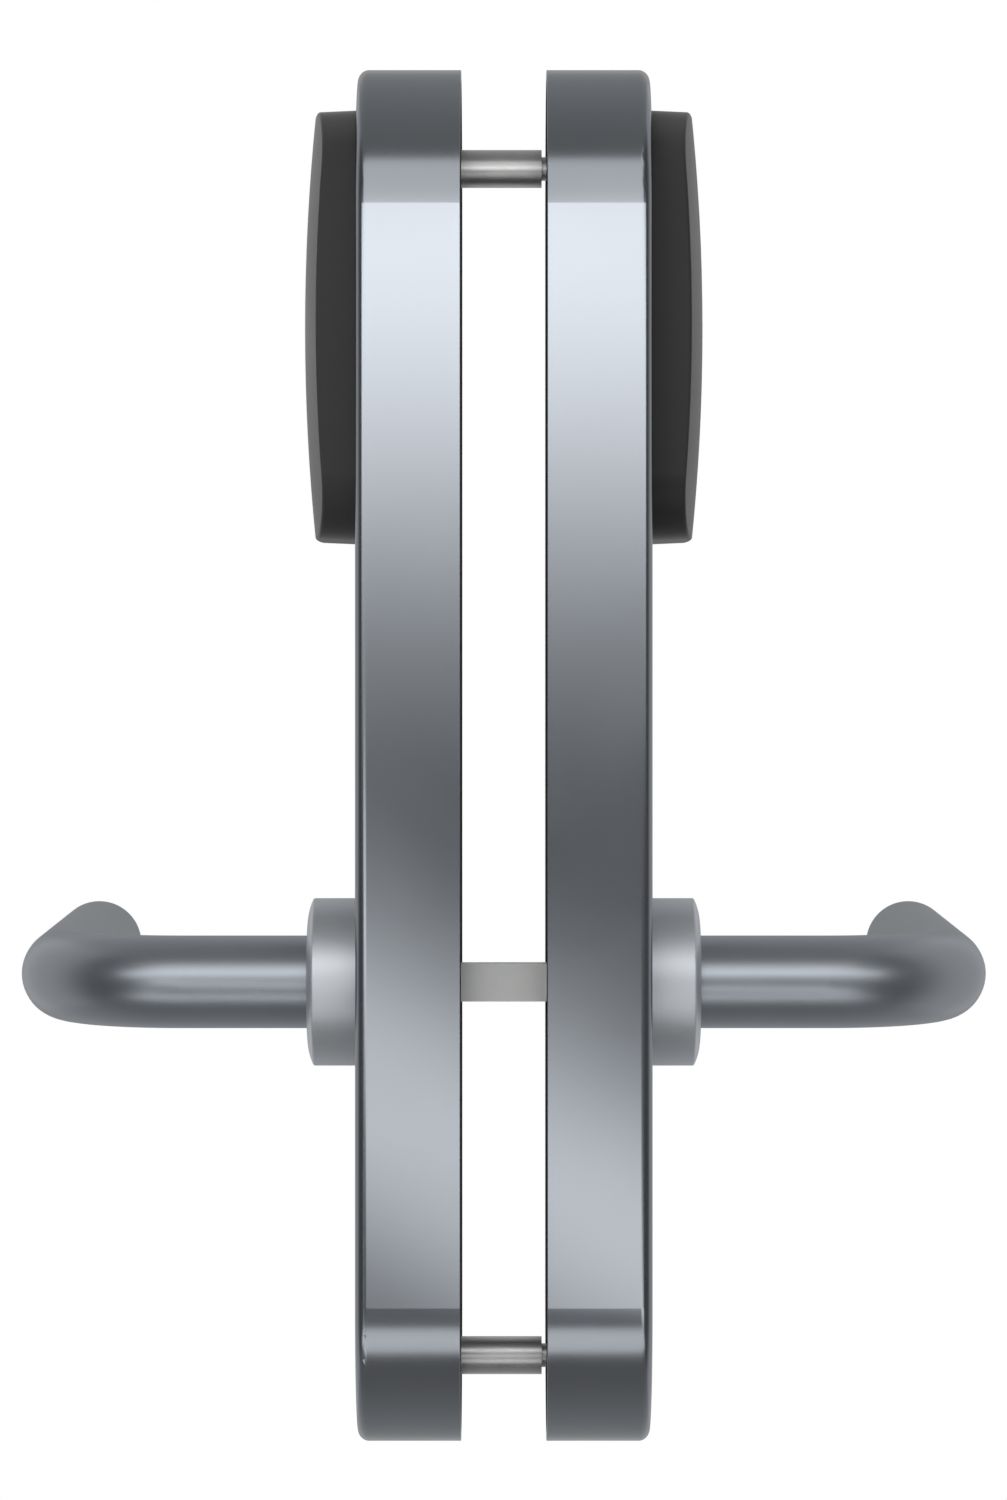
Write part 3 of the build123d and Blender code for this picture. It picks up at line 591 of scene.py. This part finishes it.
@dataclass(frozen=True)
class Card:
    """A large softbox or flag that reflections see, with one soft gradient.

    `stops` are two or three (place in metres along `axis`, brightness) pairs in rising order. A card
    that hangs aslant drops its gradient by `tilt` for each metre towards +X.
    """

    name: str
    centre: Place
    half: tuple[float, float]
    facing: Place
    axis: Axis
    stops: tuple[Stop, ...]
    tilt: float = 0.0
    full: float = 3.0

    def build(self) -> bpy.types.Object:
        """Makes the card.

        Returns:
            The card, which only reflections see.
        """
        turn = Vector(self.facing).to_track_quat("Z", "Y").to_matrix().to_4x4()
        size = Matrix.Diagonal((self.half[0], self.half[1], 1.0, 1.0))
        mesh = bmesh.new()
        bmesh.ops.create_grid(mesh, x_segments=1, y_segments=1, size=1.0,
                              matrix=Matrix.Translation(self.centre) @ turn @ size)
        card = add_piece(self.name, mesh, self._material())
        card.visible_camera = False
        card.visible_diffuse = False
        card.visible_shadow = False
        card.visible_transmission = False
        LOG.info("%s hung", self.name)
        return card

    def _material(self) -> bpy.types.Material:
        """Makes the card's glow.

        Returns:
            An emission material that runs through the stops.
        """
        made = bpy.data.materials.new(self.name)
        made.use_nodes = True
        tree = made.node_tree
        tree.nodes.clear()
        place = tree.nodes.new("ShaderNodeTexCoord")
        split = tree.nodes.new("ShaderNodeSeparateXYZ")
        tree.links.new(place.outputs["Object"], split.inputs[0])
        along = split.outputs[self.axis.value]
        if self.tilt:
            along = math_node(tree, "ADD", along,
                              math_node(tree, "MULTIPLY", split.outputs[Axis.X.value], self.tilt))
        glow = tree.nodes.new("ShaderNodeEmission")
        glow.inputs["Strength"].default_value = self.full
        tree.links.new(self._gradient(tree, along), glow.inputs["Color"])
        sink = tree.nodes.new("ShaderNodeOutputMaterial")
        tree.links.new(glow.outputs[0], sink.inputs["Surface"])
        return made

    def _gradient(self, tree: bpy.types.NodeTree, along: bpy.types.NodeSocket) -> bpy.types.NodeSocket:
        """Adds the gradient.

        Args:
            tree: Node tree to add to.
            along: Place along the card.

        Returns:
            The gradient's colour socket.
        """
        first, last = self.stops[0][0], self.stops[-1][0]
        span = tree.nodes.new("ShaderNodeMapRange")
        span.inputs["From Min"].default_value = first
        span.inputs["From Max"].default_value = last
        tree.links.new(along, span.inputs["Value"])
        node = tree.nodes.new("ShaderNodeValToRGB")
        ramp = node.color_ramp
        ramp.interpolation = "EASE"
        for where, _ in self.stops[1:-1]:
            ramp.elements.new((where - first) / (last - first))
        for element, (_, value) in zip(ramp.elements, self.stops):
            element.color = (*[value / self.full] * 3, 1.0)
        tree.links.new(span.outputs["Result"], node.inputs["Fac"])
        return node.outputs["Color"]


@dataclass(frozen=True)
class Lamp:
    """A soft lamp that lights surfaces and isn't mirrored in them."""

    name: str
    place: Place
    size: tuple[float, float]
    watts: float

    def build(self, target: Vector) -> bpy.types.Object:
        """Hangs the lamp.

        Args:
            target: Point that it faces.

        Returns:
            The lamp.
        """
        data = bpy.data.lights.new(self.name, "AREA")
        data.shape = "RECTANGLE"
        data.size, data.size_y = self.size
        data.energy = self.watts
        lamp = bpy.data.objects.new(self.name, data)
        lamp.location = self.place
        lamp.rotation_euler = (target - lamp.location).to_track_quat("-Z", "Y").to_euler()
        lamp.visible_glossy = False
        bpy.context.scene.collection.objects.link(lamp)
        LOG.info("%s hung", self.name)
        return lamp


@dataclass
class Studio:
    """Camera, floor, white surround, soft lamps, softboxes and flags."""

    distance: float = 1130.0 * MM
    pixels_per_mm: float = 4.7257
    sensor: float = 36.0
    eye: tuple[float, float] = (-0.06 * MM, 49.05 * MM)
    floor_height: float = -0.5
    floor_radius: float = 2.6
    floor_segments: int = 128
    floor_colour: Colour = (0.78, 0.78, 0.78)
    floor_roughness: float = 0.8
    rim_glow: float = 0.45
    ambient: float = 0.6

    cards: tuple[Card, ...] = (
        Card("upper_softbox", (0.0, -0.36, 0.13), (0.4, 0.08), (0.0, 1.0, 0.0), Axis.Z,
             ((0.05, 0.3), (0.21, 2.6))),
        Card("lower_softbox", (0.0, -0.36, -0.075), (0.2, 0.125), (0.0, 1.0, 0.0), Axis.Z,
             ((-0.13, 0.15), (-0.06, 1.8), (0.0, 0.15)), tilt=0.5),
        Card("ceiling_flag", (0.0, 0.25, 0.8), (1.1, 1.0), (0.0, 0.0, -1.0), Axis.Y,
             ((-0.7, 0.2), (1.2, 0.5))),
        Card("floor_flag", (0.0, 0.25, -0.45), (0.9, 0.7), (0.0, 0.0, 1.0), Axis.Y,
             ((-0.4, 0.15), (0.9, 0.6))),
        Card("inside_flag", (0.4, 0.0, 0.1), (0.85, 0.5), (-1.0, 0.0, 0.0), Axis.Y, SIDE_FLAG_STOPS),
        Card("outside_flag", (-0.5, 0.0, 0.1), (0.85, 0.5), (1.0, 0.0, 0.0), Axis.Y, SIDE_FLAG_STOPS),
        Card("back_flag", (0.0, 0.8, 0.05), (0.45, 0.65), (0.0, -1.0, 0.0), Axis.Z,
             ((-0.6, 0.6), (0.05, 0.4), (0.7, 0.6))),
    )
    lamps: tuple[Lamp, ...] = (
        Lamp("top_softbox", (-0.1, -0.1, 1.5), (1.2, 1.2), 20.0),
        Lamp("key_softbox", (-1.0, -1.1, 0.5), (0.8, 0.8), 9.0),
    )

    def build(self) -> None:
        """Sets up the whole studio."""
        self.camera()
        self.surround()
        self.floor()
        for card in self.cards:
            card.build()
        for lamp in self.lamps:
            lamp.build(Vector((0.0, 0.0, self.eye[1])))

    def camera(self) -> bpy.types.Object:
        """Makes the camera, level and square to the levers' side.

        Returns:
            The camera.
        """
        data = bpy.data.cameras.new("camera")
        data.sensor_width = self.sensor
        focal_pixels = self.pixels_per_mm * self.distance / MM
        data.lens = focal_pixels * self.sensor / max(IMAGE_WIDTH, IMAGE_HEIGHT)
        eye = bpy.data.objects.new("camera", data)
        eye.location = (self.eye[0], -self.distance, self.eye[1])
        eye.rotation_euler = (math.pi / 2, 0.0, 0.0)
        bpy.context.scene.collection.objects.link(eye)
        bpy.context.scene.camera = eye
        return eye

    def surround(self) -> None:
        """Makes the world white where it is seen or mirrored, and plain ambient light elsewhere."""
        world = bpy.data.worlds.new("surround")
        bpy.context.scene.world = world
        world.use_nodes = True
        tree = world.node_tree
        extra = math_node(tree, "MULTIPLY", self._seen(tree), 1.0 - self.ambient)
        back = tree.nodes["Background"]
        back.inputs["Color"].default_value = WHITE
        tree.links.new(math_node(tree, "ADD", extra, self.ambient), back.inputs["Strength"])

    def floor(self) -> bpy.types.Object:
        """Lays a round pale floor well below the lock.

        Returns:
            The floor.
        """
        mesh = bmesh.new()
        bmesh.ops.create_circle(mesh, cap_ends=True, segments=self.floor_segments,
                                radius=self.floor_radius,
                                matrix=Matrix.Translation((0.0, 0.0, self.floor_height)))
        floor = add_piece("floor", mesh, self._floor_material())
        LOG.info("%s laid", floor.name)
        return floor

    def _floor_material(self) -> bpy.types.Material:
        """Makes the floor pale, rising to the surround's white at its rim where it is seen or mirrored.

        Returns:
            The floor's material.
        """
        made = bpy.data.materials.new("pale_floor")
        made.use_nodes = True
        tree = made.node_tree
        shader = tree.nodes["Principled BSDF"]
        shader.inputs["Base Color"].default_value = (*self.floor_colour, 1.0)
        shader.inputs["Roughness"].default_value = self.floor_roughness
        shader.inputs["Emission Color"].default_value = WHITE
        place = tree.nodes.new("ShaderNodeTexCoord")
        far = tree.nodes.new("ShaderNodeVectorMath")
        far.operation = "LENGTH"
        tree.links.new(place.outputs["Object"], far.inputs[0])
        rise = tree.nodes.new("ShaderNodeMapRange")
        rise.inputs["From Max"].default_value = self.floor_radius
        rise.inputs["To Max"].default_value = self.rim_glow
        tree.links.new(far.outputs["Value"], rise.inputs["Value"])
        seen = self._seen(tree)
        tree.links.new(math_node(tree, "MULTIPLY", rise.outputs["Result"], seen),
                       shader.inputs["Emission Strength"])
        return made

    @staticmethod
    def _seen(tree: bpy.types.NodeTree) -> bpy.types.NodeSocket:
        """Gives one for rays that see or mirror a surface, and nought for rays that light another.

        Args:
            tree: Node tree to add to.

        Returns:
            The value's socket.
        """
        path = tree.nodes.new("ShaderNodeLightPath")
        seen = math_node(tree, "MAXIMUM", path.outputs["Is Camera Ray"], path.outputs["Is Glossy Ray"])
        return math_node(tree, "MAXIMUM", seen, path.outputs["Is Transmission Ray"])


def clear_scene() -> None:
    """Removes what a new file starts with."""
    for item in list(bpy.data.objects):
        bpy.data.objects.remove(item, do_unlink=True)


def main() -> None:
    """Loads the frame, dresses the lock and sets up the studio."""
    logging.basicConfig(level=logging.INFO, format="%(name)s: %(message)s")
    clear_scene()
    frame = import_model()
    bpy.context.scene.view_settings.view_transform = "Standard"
    palette = Palette()
    for side in Side:
        for assembly in SIDE_ASSEMBLIES:
            assembly(frame, palette, side).build()
    Fixings(frame, palette).build()
    Studio().build()


if __name__ == "__main__":
    main()
